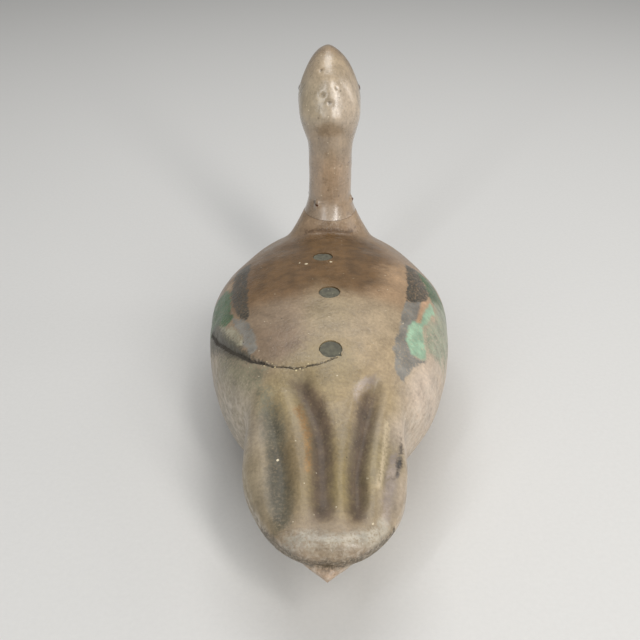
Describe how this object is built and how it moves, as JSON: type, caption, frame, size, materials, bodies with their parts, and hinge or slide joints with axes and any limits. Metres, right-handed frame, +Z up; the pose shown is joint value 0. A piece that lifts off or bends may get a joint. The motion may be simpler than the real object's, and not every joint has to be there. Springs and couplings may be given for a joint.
{
  "type": "wooden duck decoy",
  "caption": "Hollow carved wooden duck decoy with a raised head, fluted folded wings, flush back plugs, let-in lead ballast and a swinging line ring.",
  "frame": {"origin": "on the flat bottom, under the middle of the bounding box", "axes": "+Y the way the bird faces, +X its right side, +Z up"},
  "size_m": [0.1786, 0.4166, 0.2307],
  "materials": {
    "upper_body_paint": "old worn paint under glossy varnish",
    "lower_body_paint": "old worn paint, satin",
    "head_paint": "old worn paint under glossy varnish",
    "seam_putty": "dried white lead bedding",
    "plug_filler": "painted wood plug, worn",
    "bare_wood": "bare",
    "eye_glass": "polished, opaque",
    "lead": "dull lead",
    "iron": "rusted"
  },
  "bodies": {
    "decoy": {"upper_body": "upper_body_paint", "lower_body": "lower_body_paint", "head_and_neck": "head_paint", "seam_seal": "seam_putty", "neck_dowel": "bare_wood", "left_eye": "eye_glass", "right_eye": "eye_glass", "front_back_plug": "plug_filler", "middle_back_plug": "plug_filler", "rear_back_plug": "plug_filler", "front_body_screw": "iron", "middle_body_screw": "iron", "rear_body_screw": "iron", "front_left_seam_peg": "bare_wood", "front_right_seam_peg": "bare_wood", "rear_left_seam_peg": "bare_wood", "rear_right_seam_peg": "bare_wood", "rear_neck_nail": "iron", "right_neck_nail": "iron", "front_neck_nail": "iron", "left_neck_nail": "iron", "lead_ballast": "lead", "front_left_ballast_screw": "iron", "front_right_ballast_screw": "iron", "rear_left_ballast_screw": "iron", "rear_right_ballast_screw": "iron", "line_eye": "iron"},
    "ring": {"line_ring": "iron"}
  },
  "joints": [
    {"name": "ring_swing", "type": "hinge", "parent": "decoy", "child": "ring", "pos_m": [0, 0.15075, 0.0233], "axis": [1, 0, 0], "range_deg": [-55, 160]}
  ]
}
